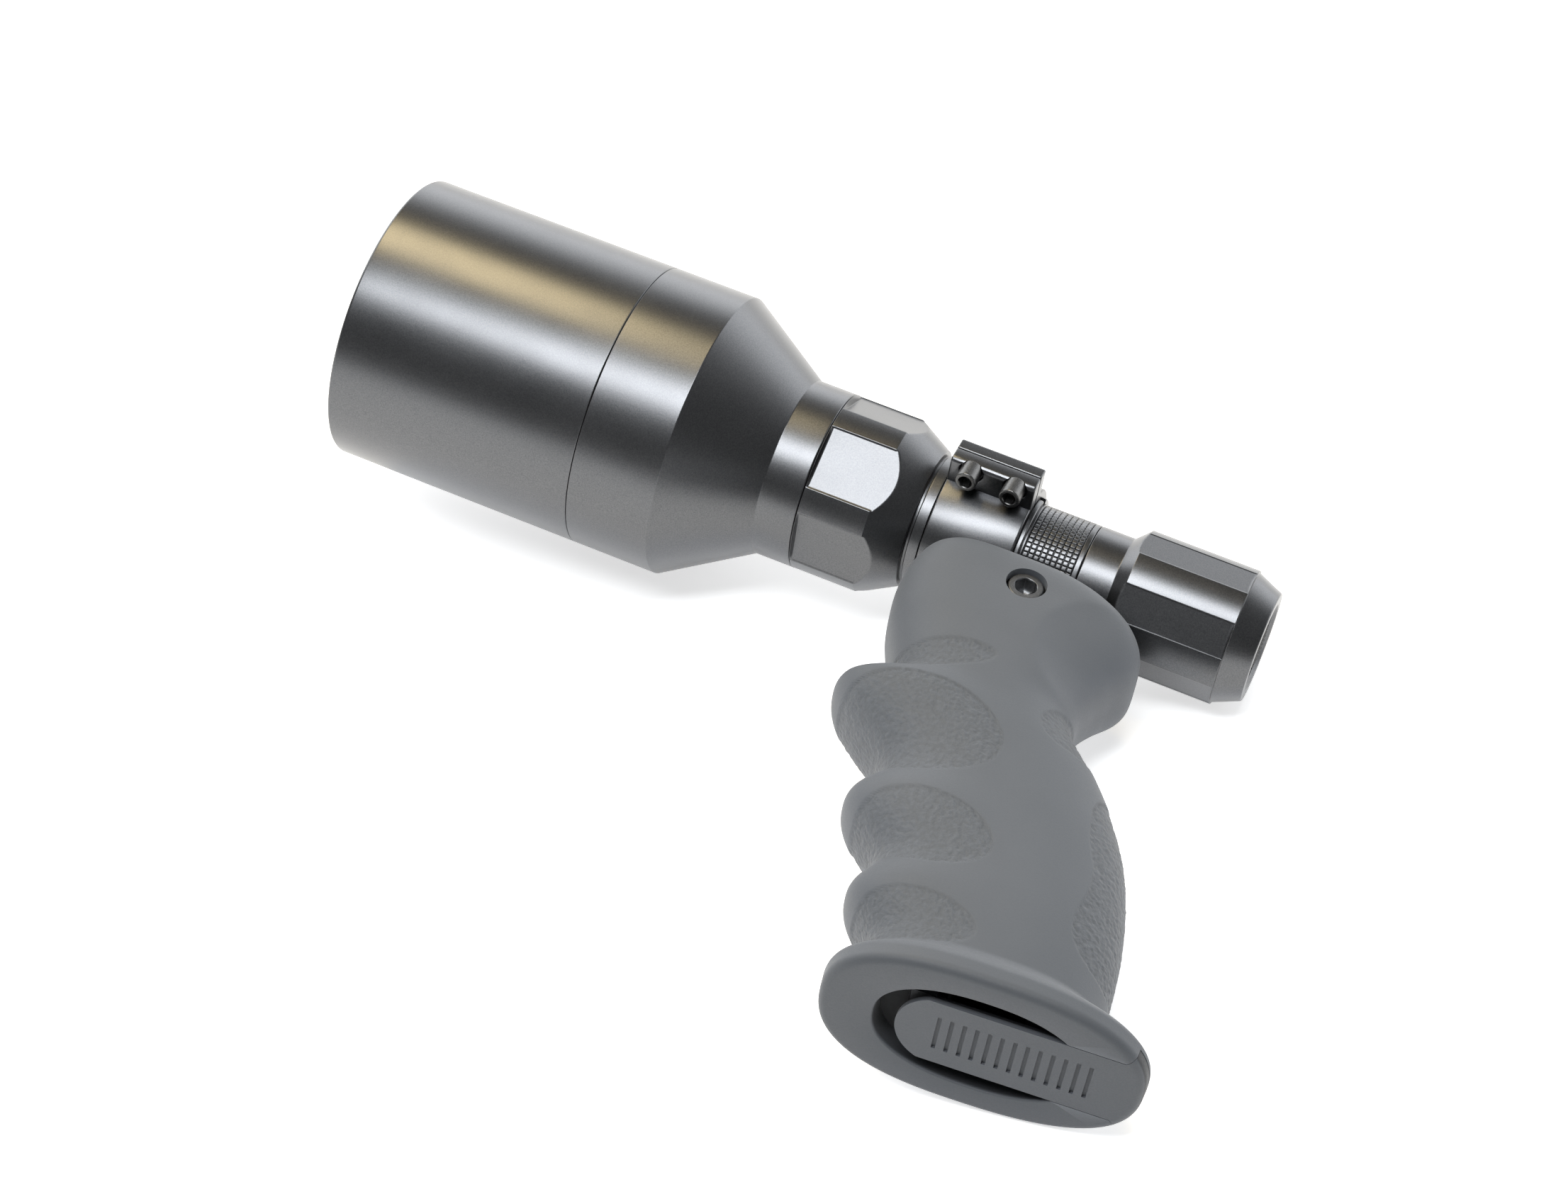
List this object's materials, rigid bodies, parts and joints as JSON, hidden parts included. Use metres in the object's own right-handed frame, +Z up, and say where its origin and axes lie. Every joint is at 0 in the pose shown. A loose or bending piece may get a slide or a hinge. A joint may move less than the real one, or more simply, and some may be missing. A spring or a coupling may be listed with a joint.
{
  "type": "pistol-grip spotlight torch",
  "caption": "Long-range LED torch: wide sliding focus hood on a slim battery tube, held by a split ring clamp in a rubber-covered pistol grip with finger ridges.",
  "frame": {"origin": "centre of the bounding box, on the surface the tool lies on", "axes": "+Z up from that surface; the head points to -X and the grip to -Y; the tool lies on its right side, leaning about 8 degrees, on its head, tail cap and grip foot"},
  "size_m": [0.2333, 0.172, 0.0772],
  "materials": {
    "anodised": "satin black anodised, fine bead-blasted grain",
    "bare_aluminium": "turned",
    "cell_wrap": "wrapped cell, satin",
    "lens_glass": "polished, coated",
    "seal_rubber": "smooth",
    "button_rubber": "fine moulded dots",
    "grip_rubber": "matte with moulded stipple",
    "core_plastic": "moulded",
    "brass": "turned",
    "white_board": "solder mask",
    "green_board": "solder mask",
    "emitter": "phosphor under a clear dome",
    "spring_steel": "plated wire",
    "black_steel": "black oxide"
  },
  "bodies": {
    "frame": {"head_body": "anodised", "spigot_seal": "seal_rubber", "led_pill": "brass", "led_board": "white_board", "led_emitter": "emitter", "driver_board": "green_board", "neck_ring": "anodised", "battery_tube": "anodised", "battery_cell": "cell_wrap", "tube_seal": "seal_rubber", "tube_sleeve": "anodised", "ring_base": "anodised", "ring_cap": "anodised", "ring_screws": "black_steel", "grip_core": "core_plastic", "grip_rubber": "grip_rubber", "grip_bolt": "black_steel", "grip_nut": "black_steel", "rail_jaw_left": "anodised", "rail_jaw_right": "anodised"},
    "hood": {"hood": "anodised", "front_lens": "lens_glass", "lens_ring": "anodised", "lens_seal": "seal_rubber"},
    "tail_cap": {"tail_cap": "anodised", "tail_spring": "spring_steel", "switch_module": "green_board", "switch_ring": "bare_aluminium"},
    "button": {"tail_button": "button_rubber"},
    "cover": {"grip_cover": "grip_rubber"}
  },
  "joints": [
    {"name": "focus_slide", "type": "slide", "parent": "frame", "child": "hood", "axis": [-0.9906, 0, 0.1367], "range_m": [0, 0.01]},
    {"name": "tail_twist", "type": "hinge", "parent": "frame", "child": "tail_cap", "pos_m": [0.10035, 0.05253, 0.0148], "axis": [0.9906, 0, -0.1367], "range_deg": [0, 180]},
    {"name": "button_press", "type": "slide", "parent": "tail_cap", "child": "button", "axis": [-0.9906, 0, 0.1367], "range_m": [0, 0.0015], "stiffness_N_per_m": 1500, "springref_m": -0.0006},
    {"name": "cover_slide", "type": "slide", "parent": "frame", "child": "cover", "axis": [0.9862, 0.0916, -0.138], "range_m": [0, 0.024]}
  ]
}
